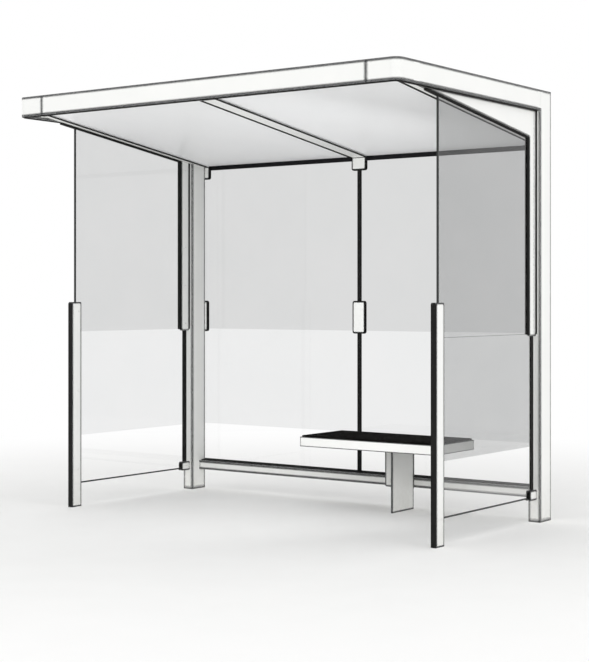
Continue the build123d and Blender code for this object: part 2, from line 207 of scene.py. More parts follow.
def wall_glass(name, across, dark, pale, lap=0.0, border_width=0.0):
    """Glass that faces along the axis named by across, with a dark and a pale band.

    lap is how far the sheets of film overlap between the bands, and border_width is that of
    the enamel round the free edges, both in metres.
    """
    material, tree, place = finish(name)
    split = add(tree, "ShaderNodeSeparateXYZ", {"Vector": place})
    wash = add(tree, "ShaderNodeTexNoise",
               {"Vector": place, "Scale": every(320), "Detail": 2.0})["Fac"]
    tint = linear("FEFEFE")
    for start, film in ((BAND_FOOT, pale), (BAND_TOP, dark)):
        film = add(tree, "ShaderNodeMix", {0: wash, 6: linear(film[0]), 7: linear(film[1])},
                   data_type="RGBA")[2]
        above = add(tree, "ShaderNodeMapRange",
                    {"Value": split["Z"], "From Min": start - FILM_EDGE,
                     "From Max": start + FILM_EDGE})["Result"]
        tint = add(tree, "ShaderNodeMix", {0: above, 6: tint, 7: film}, data_type="RGBA")[2]
    if lap > 0:
        lapped = add(tree, "ShaderNodeMath", {0: split["Z"], 1: BAND_TOP, 2: lap / 2},
                     operation="COMPARE")[0]
        tint = add(tree, "ShaderNodeMix", {0: lapped, 6: tint, 7: tint},
                   data_type="RGBA", blend_type="MULTIPLY")[2]
    pane = add(tree, "ShaderNodeBsdfPrincipled",
               {"Base Color": tint, "Roughness": 0.0, "IOR": 1.5,
                "Specular Tint": (MIRROR_SHARE, MIRROR_SHARE, MIRROR_SHARE, 1.0),
                "Transmission Weight": 1.0})[0]
    per_face = add(tree, "ShaderNodeGamma", {"Color": tint, "Gamma": 0.5})[0]
    lamp_path = add(tree, "ShaderNodeBsdfTransparent", {"Color": per_face})[0]
    to_lamp = add(tree, "ShaderNodeLightPath")["Is Shadow Ray"]
    clear = add(tree, "ShaderNodeMixShader", {0: to_lamp, 1: pane, 2: lamp_path})[0]
    normal = add(tree, "ShaderNodeNewGeometry")["True Normal"]
    facing = add(tree, "ShaderNodeSeparateXYZ", {"Vector": normal})[across]
    facing = add(tree, "ShaderNodeMath", {0: facing}, operation="ABSOLUTE")[0]
    rim = add(tree, "ShaderNodeMath", {0: facing, 1: 0.5}, operation="LESS_THAN")[0]
    if border_width > 0:
        for axis, edge, inward in (("Y", side_low.y, 1), ("Y", side_high.y, -1),
                                   ("Z", side_low.z, 1)):
            border = split[axis]
            for operation, value in (("SUBTRACT", edge), ("MULTIPLY", inward),
                                     ("LESS_THAN", border_width), ("MAXIMUM", rim)):
                border = add(tree, "ShaderNodeMath", {0: border, 1: value},
                             operation=operation)[0]
            rim = border
    speck = add(tree, "ShaderNodeTexNoise",
                {"Vector": place, "Scale": every(3), "Detail": 2.0})["Fac"]
    enamel_tone = add(tree, "ShaderNodeMix",
                      {0: speck, 6: linear("121514"), 7: linear("1C211F")},
                      data_type="RGBA")[2]
    enamel = add(tree, "ShaderNodeBsdfPrincipled",
                 {"Base Color": enamel_tone, "Roughness": 0.35, "IOR": 1.5})[0]
    shown = add(tree, "ShaderNodeMixShader", {0: rim, 1: clear, 2: enamel})[0]
    add(tree, "ShaderNodeOutputMaterial", {"Surface": shown})
    print(name, "nodes:", len(tree.nodes))
    return material


BORDER = 0.009
DARK = ("DDDDDD", "D8D9D9")
PALE = ("EFEFEF", "EBECEC")
DEEP = ("D3D3D3", "CECFCF")
LAP = 0.004
pane_glass = {
    "side_pane_left": wall_glass("toughened_glass_left", "X", DARK, PALE, 0.0, BORDER),
    "side_pane_right": wall_glass("toughened_glass_right", "X", DEEP, DEEP, LAP, BORDER),
    "rear_pane_left": wall_glass("toughened_glass_rear", "Y", DARK, PALE),
}
pane_glass["rear_pane_right"] = pane_glass["rear_pane_left"]

# %% [markdown]
# ## Obscured roof glass
# The roof sheets are grey opal glass, rolled while hot, so that nobody inside sees leaves
# and birds lying on it.  It is milky rather than clear: a soft grey with a shallow rolled
# texture, about 14 mm from crest to crest, and part of the daylight on top of it glows
# through to its underside.  Rain leaves faint streaks of dirt down the slope, on the upper
# face alone, so they are held back by the height of the surface's normal.

# %% Obscured roof glass
roof_glass, tree, place = finish("rolled_opal_glass")
rolled = add(tree, "ShaderNodeTexVoronoi",
             {"Vector": place, "Scale": every(14)}, feature="SMOOTH_F1")["Distance"]
haze = add(tree, "ShaderNodeTexNoise",
           {"Vector": place, "Scale": every(400), "Detail": 4.0})["Fac"]
colour = add(tree, "ShaderNodeMix",
             {0: haze, 6: linear("F0F1F2"), 7: linear("E9EBED")}, data_type="RGBA")[2]
stretched = add(tree, "ShaderNodeMapping",
                {"Vector": place, "Scale": (every(80), every(1400), every(1400))})["Vector"]
streaks = add(tree, "ShaderNodeTexNoise",
              {"Vector": stretched, "Scale": 1.0, "Detail": 5.0})["Fac"]
upward = add(tree, "ShaderNodeSeparateXYZ",
             {"Vector": add(tree, "ShaderNodeNewGeometry")["Normal"]})["Z"]
dirty = add(tree, "ShaderNodeMapRange",
            {"Value": streaks, "From Min": 0.45, "From Max": 0.80,
             "To Max": 0.25})["Result"]
dirty = add(tree, "ShaderNodeMath", {0: dirty, 1: upward}, operation="MULTIPLY",
            use_clamp=True)[0]
colour = add(tree, "ShaderNodeMix",
             {0: dirty, 6: colour, 7: linear("A9A79F")}, data_type="RGBA")[2]
surface = add(tree, "ShaderNodeBump",
              {"Height": rolled, "Strength": 0.3, "Distance": 0.0008})["Normal"]
opal = add(tree, "ShaderNodeBsdfPrincipled",
           {"Base Color": colour, "Roughness": 0.38, "IOR": 1.5, "Normal": surface,
            "Subsurface Weight": 0.85, "Subsurface Radius": (1.0, 1.0, 1.0),
            "Subsurface Scale": 0.045})
add(tree, "ShaderNodeOutputMaterial", {"Surface": opal[0]})
print(roof_glass.name, "nodes:", len(tree.nodes))

# %% [markdown]
# ## Black-stained slats
# The bench slats are planed hardwood, stained black and oiled.  The stain sits deeper in
# the open grain, so the boards show fine streaks along their length, and the arrises are
# rubbed a little paler.  Noise stretched a hundred to one makes the grain: a streak is
# about 3 mm across and 300 mm long.

# %% Black-stained slats
stained_wood, tree, place = finish("black_stained_hardwood")
along = add(tree, "ShaderNodeMapping",
            {"Vector": place, "Scale": (every(300), every(3), every(6))})["Vector"]
grain = add(tree, "ShaderNodeTexNoise",
            {"Vector": along, "Scale": 1.0, "Detail": 5.0, "Roughness": 0.6})["Fac"]
streak = add(tree, "ShaderNodeMapRange",
             {"Value": grain, "From Min": 0.38, "From Max": 0.68})["Result"]
board = add(tree, "ShaderNodeTexNoise",
            {"Vector": place, "Scale": every(60), "Detail": 1.0})["Fac"]
dark = add(tree, "ShaderNodeMix",
           {0: streak, 6: linear("040404"), 7: linear("221F1C")}, data_type="RGBA")[2]
dark = add(tree, "ShaderNodeMix",
           {0: board, 6: dark, 7: linear("080808")}, data_type="RGBA")[2]
rubbed = flatness(tree, 0.002, 6)
rubbed = add(tree, "ShaderNodeMapRange",
             {"Value": rubbed, "From Min": 0.98, "From Max": 0.85, "To Max": 0.7})["Result"]
colour = add(tree, "ShaderNodeMix",
             {0: rubbed, 6: dark, 7: linear("33302D")}, data_type="RGBA")[2]
surface = add(tree, "ShaderNodeBump",
              {"Height": grain, "Strength": 0.4, "Distance": 0.0005})["Normal"]
slat = add(tree, "ShaderNodeBsdfPrincipled",
           {"Base Color": colour, "Roughness": 0.75, "IOR": 1.45,
            "Specular IOR Level": 0.02, "Normal": surface})
add(tree, "ShaderNodeOutputMaterial", {"Surface": slat[0]})
print(stained_wood.name, "nodes:", len(tree.nodes))

# %% [markdown]
# ## Black rubber
# Nosings, gaskets and seals are extruded EPDM rubber.  Carbon black makes it almost
# black, and its matt skin turns slightly grey where it weathers.

# %% Black rubber
rubber, tree, place = finish("epdm_rubber")
bloom, skin = (
    add(tree, "ShaderNodeTexNoise",
        {"Vector": place, "Scale": every(mm), "Detail": detail})["Fac"]
    for mm, detail in ((35, 5.0), (1.5, 2.0)))
colour = add(tree, "ShaderNodeMix",
             {0: bloom, 6: linear("0D0D0D"), 7: linear("1B1B1A")}, data_type="RGBA")[2]
surface = add(tree, "ShaderNodeBump",
              {"Height": skin, "Strength": 0.3, "Distance": 0.0002})["Normal"]
matt = add(tree, "ShaderNodeBsdfPrincipled",
           {"Base Color": colour, "Roughness": 0.8, "IOR": 1.5,
            "Specular IOR Level": 0.25, "Normal": surface})
add(tree, "ShaderNodeOutputMaterial", {"Surface": matt[0]})
print(rubber.name, "nodes:", len(tree.nodes))

# %% [markdown]
# ## Black silicone
# The joints of the roof are run with black silicone from a gun and drawn smooth with a wet
# finger.  It keeps a soft gloss, with long shallow waves where the finger slowed down, and
# dust sticks to it.

# %% Black silicone
silicone, tree, place = finish("black_silicone_sealant")
waves, grit = (
    add(tree, "ShaderNodeTexNoise",
        {"Vector": place, "Scale": every(mm), "Detail": detail})["Fac"]
    for mm, detail in ((22, 2.0), (3, 5.0)))
stuck = add(tree, "ShaderNodeMapRange",
            {"Value": grit, "From Min": 0.62, "From Max": 0.80, "To Max": 0.5})["Result"]
colour = add(tree, "ShaderNodeMix",
             {0: stuck, 6: linear("0E0E0F"), 7: linear("3A3937")}, data_type="RGBA")[2]
rough = add(tree, "ShaderNodeMapRange",
            {"Value": grit, "To Min": 0.35, "To Max": 0.60})["Result"]
surface = add(tree, "ShaderNodeBump",
              {"Height": waves, "Strength": 0.35, "Distance": 0.0008})["Normal"]
drawn = add(tree, "ShaderNodeBsdfPrincipled",
            {"Base Color": colour, "Roughness": rough, "IOR": 1.41,
             "Specular IOR Level": 0.3, "Normal": surface})
add(tree, "ShaderNodeOutputMaterial", {"Surface": drawn[0]})
print(silicone.name, "nodes:", len(tree.nodes))

# %% [markdown]
# ## Zinc-plated steel and black anodised aluminium
# The sleeves in the fascia joints are zinc plated: a cool, pale metal with cloudy
# patches.  The head trim is aluminium, brushed along its length and anodised black.
# Both are metals, so they keep the default IOR and take their colour from reflection.
# One function finishes both, with a pattern that moves colour and roughness together.

# %% Zinc-plated steel
def metal(material, pattern, tones, dull):
    """Finish a metal between two tones and two values of roughness, led by a pattern."""
    tree = material.node_tree
    colour = add(tree, "ShaderNodeMix",
                 {0: pattern, 6: linear(tones[0]), 7: linear(tones[1])},
                 data_type="RGBA")[2]
    rough = add(tree, "ShaderNodeMapRange",
                {"Value": pattern, "To Min": dull[0], "To Max": dull[1]})["Result"]
    shiny = add(tree, "ShaderNodeBsdfPrincipled",
                {"Base Color": colour, "Metallic": 1.0, "Roughness": rough})
    add(tree, "ShaderNodeOutputMaterial", {"Surface": shiny[0]})
    print(material.name, "nodes:", len(tree.nodes))


zinc, tree, place = finish("zinc_plated_steel")
patches = add(tree, "ShaderNodeTexVoronoi", {"Vector": place, "Scale": every(18)})["Color"]
patch = add(tree, "ShaderNodeSeparateColor", {"Color": patches})[0]
metal(zinc, patch, ("A9ACAE", "C3C5C6"), (0.30, 0.45))

# %% Black anodised aluminium
anodised, tree, place = finish("black_anodised_aluminium")
along = add(tree, "ShaderNodeMapping",
            {"Vector": place, "Scale": (every(200), every(1.2), every(1.2))})["Vector"]
brush = add(tree, "ShaderNodeTexNoise",
            {"Vector": along, "Scale": 1.0, "Detail": 3.0})["Fac"]
metal(anodised, brush, ("1A1A1B", "2A2A2C"), (0.32, 0.48))

# %% [markdown]
# ## Dress the CAD nodes
# The CAD solids already have their right shapes, so they stay and only change material.
# Each arrives with the name of its finish in its one material slot.

# %% Dress the CAD nodes
finishes = {
    "white_steel": coated_steel,
    "roof_glass": roof_glass,
    "slat_black": stained_wood,
    "zinc_steel": zinc,
    "black_rubber": rubber,
    "dark_trim": anodised,
}
ribbed = ("roof_rafter", "roof_edge_angle", "seat_frame", "top_clamp", "mid_clamp")
for name, node in nodes.items():
    arrived = node.data.materials[0].name
    if arrived == "wall_glass":
        node.data.materials[0] = pane_glass[name]
    elif name.startswith(ribbed):
        node.data.materials[0] = coated_plate
    else:
        node.data.materials[0] = finishes[arrived]
print("dressed", len(nodes), "nodes")

# %% [markdown]
# ## Shaping helpers
# The small parts are made in mesh code.  Most of them are long and have one section all
# the way.  A curve with a bevel object could draw them, but it takes a section only in its
# own plane and leaves the ends open.  Here a section is carried along a path with mitred
# corners, and the ends are closed.

# %% Finish a piece and sweep a section
SHARP_FROM = 40
REAR, FRONT, UP, DOWN = (0, 1, 0), (0, -1, 0), (0, 0, 1), (0, 0, -1)


def place_piece(name, shape, material):
    """Close a shape into an object that belongs to the shelter and has one finish."""
    bmesh.ops.recalc_face_normals(shape, faces=shape.faces)
    mesh = bpy.data.meshes.new(name)
    shape.to_mesh(mesh)
    shape.free()
    mesh.materials.append(material)
    mesh.shade_smooth()
    mesh.set_sharp_from_angle(angle=math.radians(SHARP_FROM))
    piece = bpy.data.objects.new(name, mesh)
    scene.collection.objects.link(piece)
    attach(piece, "root")
    print(name, "faces:", len(mesh.polygons))


def skin_over(shape, loops, closed=False):
    """Join neighbouring loops of points with faces, and close both ends of an open row."""
    pairs = list(zip(loops, loops[1:])) + ([(loops[-1], loops[0])] if closed else [])
    for one, other in pairs:
        for i in range(len(one)):
            j = (i + 1) % len(one)
            shape.faces.new((one[i], one[j], other[j], other[i]))
    if not closed:
        shape.faces.new(loops[0])
        shape.faces.new(loops[-1][::-1])


def sweep(shape, path, outward, section, closed=False):
    """Carry a section along a flat path.

    The path lies in a plane that faces outward.  Section points are in millimetres: the
    first number is measured in the plane, to the left of the way ahead when seen from
    outside, and the second one out of it.
    """
    outward = Vector(outward)
    path = [Vector(spot) for spot in path]
    last = len(path) - 1
    loops = []
    for i, spot in enumerate(path):
        ways = []
        if closed or i > 0:
            ways.append((spot - path[i - 1]).normalized())
        if closed or i < last:
            ways.append((path[(i + 1) % len(path)] - spot).normalized())
        aside = sum((outward.cross(way) for way in ways), Vector()) / len(ways)
        aside /= aside.length_squared
        loops.append([shape.verts.new(spot + (aside * u + outward * v) / 1000)
                      for u, v in section])
    skin_over(shape, loops, closed)


def quarter(steps, start=0):
    """Angles of a quarter turn in equal steps, from a start in degrees."""
    return [math.radians(start + 90 * i / steps) for i in range(steps + 1)]


def rounded_bar(width, height, radius):
    """Section of a bar with its two outer corners rounded."""
    half = width / 2
    return [(-half, 0.0), (half, 0.0)] + [
        (side * (half - radius) + radius * math.cos(turn),
         height - radius + radius * math.sin(turn))
        for side, start in ((1, 0), (-1, 90)) for turn in quarter(3, start)]


print("section points of a rounded bar:", len(rounded_bar(18, 5, 1.5)))

# %% [markdown]
# ## Where the roof slopes
# The gussets, the roof bars and the roof panels all follow one fall to the rear.  Reading
# the lower edge of a CAD node at its two ends gives the height at any place between them,
# so every seal follows the real slope without a second set of numbers.

# %% Slope of the roof
SAME_PLACE = 0.0005


def lower_edge(name, y):
    """Height of a sloping node's underside at a place from front to back."""
    points = [vertex.co for vertex in nodes[name].data.vertices]
    ends = [min(p.y for p in points), max(p.y for p in points)]
    low = [min(p.z for p in points if abs(p.y - end) < SAME_PLACE) for end in ends]
    share = (y - ends[0]) / (ends[1] - ends[0])
    return low[0] + share * (low[1] - low[0])


def down_slope(name, x, ends, rise=0.0):
    """Path at one x that follows a sloping node's underside between two places."""
    return [(x, y, lower_edge(name, y) + rise) for y in ends]


front_end, rear_end = down_slope("roof_edge_angle_right", 0.0, (0.0, 0.5))
fall = 2000 * (front_end[2] - rear_end[2])
print("fall of the roof bars in mm per metre:", round(fall, 1))

# %% [markdown]
# ## Drip strip
# Rain that runs down the fascia would creep back along the flat underside of the frame and
# drip on the people below.  A black rubber strip, 18 mm wide, is glued under the frame on
# three sides and turns the water off.  It follows the rounded corners: each corner of its
# path becomes an arc that shares its centre with that of the frame.

# %% Drip strip
def round_corners(corners, radius, closed=False, steps=4):
    """A path with its right-angled corners turned into arcs."""
    corners = [Vector(corner) for corner in corners]
    path = []
    for i, corner in enumerate(corners):
        if not closed and i in (0, len(corners) - 1):
            path.append(corner)
            continue
        start = corner + (corners[i - 1] - corner).normalized() * radius
        end = corner + (corners[(i + 1) % len(corners)] - corner).normalized() * radius
        centre = start + end - corner
        path += [centre + (start - centre) * math.cos(turn)
                 + (end - centre) * math.sin(turn) for turn in quarter(steps)]
    return path


FRAME_RADIUS = 0.050
DRIP_INSET = 0.0195
DRIP_BAR = rounded_bar(width=18, height=5, radius=1.5)
strip_x = beam_high.x - DRIP_INSET
front, rear = beam_low.y + DRIP_INSET, beam_high.y - 0.004
plan = [(x, y, beam_low.z) for x, y in
        ((strip_x, rear), (strip_x, front), (-strip_x, front), (-strip_x, rear))]
shape = bmesh.new()
sweep(shape, round_corners(plan, FRAME_RADIUS - DRIP_INSET, steps=8), DOWN, DRIP_BAR)
place_piece("drip_strip", shape, rubber)

# %% [markdown]
# ## Glazing gaskets of the side walls
# Each side pane is clamped between an inner and an outer plate.  A black gasket is pressed
# in along the front edge of each leg and on along the sloping edge of each gusset, on both
# faces of the glass.  It stands proud of the plate's edge and about 1.5 mm over its face,
# so from a distance the plates look underlined in black.  Along the slope there is little
# room above the roof trims, so it is narrow there.  Along the leg it is a broad flat strip,
# broader inside than outside.  Ahead of the gusset a filler hides the top of the pane.

# %% Gaskets along the plates
def gasket(proud, over_glass=7.5):
    """Section of a gasket, by how far it stands proud of the edge and over the glass."""
    return [(-0.2, 0.0), (proud, 0.0), (proud, over_glass - 3.0),
            (proud - 0.8, over_glass - 1.1), (proud - 2.8, over_glass), (-0.2, over_glass)]


SIDES = (("left", -1), ("right", 1))
PROUD_ON_SLOPE = 11.0
PROUD_OUTSIDE = 21.0
PROUD_INSIDE = 28.0
FILLER = [(-1.0, 0.2), (10.6, 0.2), (10.6, 9.8), (-1.0, 9.8)]
SLOPE_GUIDE = "roof_edge_angle_right"
for side, sign in SIDES:
    shape = bmesh.new()
    pane_low, pane_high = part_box("side_pane_" + side)
    plate_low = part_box("outer_plate_" + side)[0]
    leg_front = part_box("pane_shoe_" + side)[0].y
    foot, head = plate_low.z + 0.010, lower_edge(SLOPE_GUIDE, leg_front) - 0.001
    for outward, glass_face in ((-1, pane_low.x), (1, pane_high.x)):
        proud = PROUD_OUTSIDE if outward == sign else PROUD_INSIDE
        slope = down_slope(SLOPE_GUIDE, glass_face, (leg_front, plate_low.y))
        leg = [(glass_face, leg_front, z) for z in (foot, head)]
        for run, section in ((slope, gasket(PROUD_ON_SLOPE)), (leg, gasket(proud, 7.3))):
            sweep(shape, run, (outward, 0, 0), [(outward * u, v) for u, v in section])
    ahead = down_slope(SLOPE_GUIDE, pane_low.x, (pane_low.y, plate_low.y))
    sweep(shape, ahead, (1, 0, 0), FILLER)
    place_piece("side_gaskets_" + side, shape, rubber)

# %% [markdown]
# The corners between each leg's two plates and the front face of its post would hold rain.
# Rubber cord is pressed into them from the foot of the leg up to the beam, on both sides.
# Its section is a quarter round with a flat nose, 8 mm each way.

# %% Cords beside the legs
CORD = [(-0.2, -0.2), (8.0, -0.2), (8.0, 2.2), (6.2, 6.2), (2.2, 8.0), (-0.2, 8.0)]
for side in ("left", "right"):
    inner_low, inner_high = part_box("inner_plate_" + side)
    outer_low, outer_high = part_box("outer_plate_" + side)
    foot, head = outer_low.z + 0.011, outer_high.z - 0.0005
    shape = bmesh.new()
    for outward, face_x in ((-1, min(inner_low.x, outer_low.x)),
                            (1, max(inner_high.x, outer_high.x))):
        sweep(shape, [(face_x, outer_high.y, z) for z in (foot, head)],
              (outward, 0, 0), [(outward * u, v) for u, v in CORD])
    place_piece("leg_cords_" + side, shape, rubber)

# %% [markdown]
# ## Edge seals of the side panes
# Between the shoe and the leg the rear edge of each side pane is free.  A rubber seal with
# a deep U section is pushed over it, so that nobody touches the bare edge and less rain
# blows through the gap to the post.

# %% Edge seals
LIP = 32.0
EDGE_SEAL = [(-7, -LIP), (-5.1, -LIP), (-5.1, 0.3), (5.1, 0.3), (5.1, -LIP), (7, -LIP),
             (7, 2.6), (6.1, 4.2), (4.6, 4.8), (-4.6, 4.8), (-6.1, 4.2), (-7, 2.6)]
for side in ("left", "right"):
    pane_low, pane_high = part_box("side_pane_" + side)
    middle = (pane_low.x + pane_high.x) / 2
    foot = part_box("pane_shoe_" + side)[1].z + 0.001
    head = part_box("outer_plate_" + side)[0].z - 0.001
    shape = bmesh.new()
    sweep(shape, [(middle, pane_high.y, z) for z in (foot, head)], REAR, EDGE_SEAL)
    place_piece("edge_seal_" + side, shape, rubber)

# %% [markdown]
# ## Buffers on the shoes
# The front faces of the two shoes get rubber buffers like the nosings of the front posts.
# Each has two pads, one on either cheek, with the glass between them.

# %% Shoe buffers
BUFFER_INSET = 0.007
for side in ("left", "right"):
    low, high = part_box("pane_shoe_" + side)
    pane_low, pane_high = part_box("side_pane_" + side)
    shape = bmesh.new()
    for x0, x1 in ((low.x, pane_low.x), (pane_high.x, high.x)):
        pad = rounded_bar(width=(x1 - x0) * 1000 - 0.6, height=3.0, radius=1.2)
        sweep(shape, [((x0 + x1) / 2, low.y, z)
                      for z in (low.z + BUFFER_INSET, high.z - BUFFER_INSET)], FRONT, pad)
    place_piece("shoe_buffers_" + side, shape, rubber)

# %% [markdown]
# ## Strip on the bottom rail
# Water runs down the rear panes and lands on the flat top of the rail.  A wedge-shaped
# rubber strip lies there against the glass and sheds it to the front.  It is one extrusion
# from post to post.

# %% Rail strip
rail_low, rail_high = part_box("rear_rail")
glass_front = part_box("rear_pane_right")[0].y
depth = (glass_front - rail_high.y) * 1000
WEDGE = [(-40.0, 0.0), (depth - 0.4, 0.0), (depth - 0.4, 12.0), (depth - 3.4, 12.4),
         (depth - 7.0, 9.0), (-39.0, 4.0), (-40.0, 3.0)]
shape = bmesh.new()
sweep(shape, [(x, rail_high.y, rail_high.z)
              for x in (rail_low.x + 0.0005, rail_high.x - 0.0005)], UP, WEDGE)
place_piece("rail_strip", shape, rubber)

# %% [markdown]
# ## Gaskets round the rear clamps
# The steel jaws don't touch the glass dry: each sits in a shallow rubber boot, which shows
# round it as a black bead.  Only that bead is modelled, on both faces of the glass.  Each
# outline goes round the jaw's free sides and stops at a post, or at the trim above.  The
# jaws have rounded corners, so the bead's corners are rounded with them.

# %% Beads round the clamps
BEAD = [(-0.2, 0.0), (6.4, 0.0), (7.2, 1.0), (7.2, 4.4), (6.2, 6.2), (4.4, 7.0),
        (-0.2, 7.0)]
JAW_RADIUS = 0.008
trim_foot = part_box("head_trim_right")[0].z
pane_low, pane_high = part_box("rear_pane_right")
runs = {"top_clamp_left": "abc", "top_clamp_centre": "dabc", "top_clamp_right": "dab",
        "mid_clamp_left": "abcd", "mid_clamp_centre": "abcd", "mid_clamp_right": "cdab"}
for name, run in runs.items():
    low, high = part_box(name)
    shape = bmesh.new()
    for face_y, outward, ceiling in ((pane_low.y, -1, trim_foot),
                                     (pane_high.y, 1, pane_high.z - 0.002)):
        top = min(high.z, ceiling)
        corners = {"a": (low.x, face_y, low.z), "b": (high.x, face_y, low.z),
                   "c": (high.x, face_y, top), "d": (low.x, face_y, top)}
        closed = name == "mid_clamp_centre"
        path = round_corners([corners[letter] for letter in run], JAW_RADIUS, closed)
        section = BEAD if outward > 0 else [(-u, v) for u, v in BEAD]
        sweep(shape, path, (0, outward, 0), section, closed)
    place_piece(name + "_bead", shape, rubber)

# %% [markdown]
# ## Gaskets in the fascia joints
# The fascia slides on to sleeves that stand out of the corner pieces, and a 2.5 mm joint is
# left for the heat of summer.  A flat rubber ring fills it.  The ring follows the tubes'
# walls, so the sleeve passes through it.

# %% Rings in the fascia joints
fascia_low, fascia_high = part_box("fascia_front")
sleeve_low, sleeve_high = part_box("fascia_sleeve_right")
low, high = (fascia_low + sleeve_low) / 2, (fascia_high + sleeve_high) / 2
joint = (fascia_high.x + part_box("side_beam_right")[0].x) / 2
RING = [(-1.5, -1.0), (1.5, -1.0), (1.5, 1.0), (-1.5, 1.0)]
for side, sign in SIDES:
    shape = bmesh.new()
    corners = [(sign * joint, y, z) for y, z in
               ((low.y, low.z), (high.y, low.z), (high.y, high.z), (low.y, high.z))]
    sweep(shape, corners, (sign, 0, 0), RING, closed=True)
    place_piece("fascia_ring_" + side, shape, rubber)

# %% [markdown]
# ## Trims under the roof
# The roof panels are bedded on the rafter's flange and on the two edge angles.  Rubber
# trims are hooked over those steel edges from below and close the joint to the panels.
# Seen from the bench they frame each opal panel with a black line.  The section is an L
# that is measured from the panel down.

# %% Trims on the flange and the edge angles
def edge_trim(lip, steel=7.1):
    """L section on an edge of steel; its lip covers part of the underside, in mm."""
    return [(0.0, 0.2), (2.6, 0.2), (2.6, steel + 1.0), (1.8, steel + 1.9),
            (1.0 - lip, steel + 1.9), (-lip, steel + 1.2), (-lip, steel), (0.0, steel)]


panel_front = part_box("roof_panel_right")[0].y + 0.001
rafter_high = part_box("roof_rafter")[1]
angle_low, angle_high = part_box("roof_edge_angle_right")
clamp_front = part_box("top_clamp_centre")[0].y
shape = bmesh.new()
for sign in (-1, 1):
    for x, toward, lip in ((rafter_high.x, 1, 18.0), (angle_low.x, -1, 14.0)):
        path = down_slope("roof_panel_right", sign * x, (panel_front, clamp_front - 0.001))
        sweep(shape, path, DOWN, [(-sign * toward * u, v) for u, v in edge_trim(lip)])
place_piece("roof_trims", shape, rubber)

# %% [markdown]
# ## Sealant on the roof
# On top, black silicone is drawn along the rafter's web and along the upstands of the
# angles.  A fingertip leaves it slightly hollow, so the section is a triangle with a
# dished face.

# %% Silicone on the roof
def hollow_corner(width, height):
    """Curve of a fingertip or a round corner between two faces that meet at 0, 0."""
    return [(width * (1 - math.sin(turn)), height * (1 - math.cos(turn)))
            for turn in quarter(6)]


PANEL_RISE = 0.0101
WEB_HALF = 0.004
UPSTAND = 0.005
SEALANT = [(-0.3, -0.3), (8.0, -0.3)] + hollow_corner(8.0, 7.0) + [(-0.3, 7.0)]
post_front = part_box("rear_post_right")[0].y
shape = bmesh.new()
for sign in (-1, 1):
    for x, toward, rear in ((WEB_HALF, 1, angle_high.y),
                            (angle_high.x - UPSTAND, -1, post_front)):
        path = down_slope("roof_panel_right", sign * x, (panel_front, rear - 0.004),
                          rise=PANEL_RISE)
        sweep(shape, path, UP, [(sign * toward * u, v) for u, v in SEALANT])
place_piece("sealant_above", shape, silicone)

# %% [markdown]
# ## Screws, bolts and nuts
# A turned part is a stack of rings about one axis, and a ring can also be a hexagon, which
# gives sockets and spanner flats from the same helper.  The sizes follow the usual tables
# for metric fasteners: an M8 button head is 14 mm wide with a 5 mm socket, an M8 dome nut
# is 13 mm across the flats, and an M10 bolt head 17 mm.

# %% Turned parts
def turned(shape, seat, axis, rings, sides=24):
    """Stack rings on a seat: height and half width in mm, and a 6 where it is a hexagon."""
    axis = Vector(axis)
    first = axis.orthogonal().normalized()
    second = axis.cross(first)
    loops = []
    for height, half, *hexagon in rings:
        loop = []
        for step in range(sides):
            turn = 2 * math.pi * step / sides
            flat = math.cos(turn % (math.pi / 3) - math.pi / 6) if hexagon else 1.0
            out = (first * math.cos(turn) + second * math.sin(turn)) * half / flat
            loop.append(shape.verts.new(Vector(seat) + (axis * height + out) / 1000))
        loops.append(loop)
    skin_over(shape, loops)


BUTTON = [(-0.3, 7.0), (0.4, 7.0), (1.7, 6.6), (2.9, 5.5), (3.7, 4.0), (4.0, 2.9),
          (3.9, 2.5, 6), (1.2, 2.5, 6)]
DOME_NUT = [(-0.3, 8.0), (1.2, 8.0), (1.5, 7.7), (1.5, 6.5, 6), (6.0, 6.5, 6), (6.8, 6.1),
            (9.5, 6.0), (12.0, 4.9), (13.6, 3.0), (14.2, 1.0)]
HEX_BOLT = [(-0.3, 10.0), (1.7, 10.0), (2.0, 9.7), (2.0, 8.5, 6), (7.6, 8.5, 6), (8.3, 8.0),
            (8.4, 6.6)]
SLAT_SCREW = [(-0.4, 4.6), (0.3, 4.6), (0.9, 4.1), (1.3, 2.6), (1.3, 1.5, 6), (0.2, 1.5, 6)]
print("button head stands", max(ring[0] for ring in BUTTON), "mm high")

# %% [markdown]
# ## Screws of the side walls
# The clamping plates, the front posts and the shoes are closed with button-head screws from
# inside the shelter.  The street side stays plain.  A leg has five, a front post three and
# a shoe one.

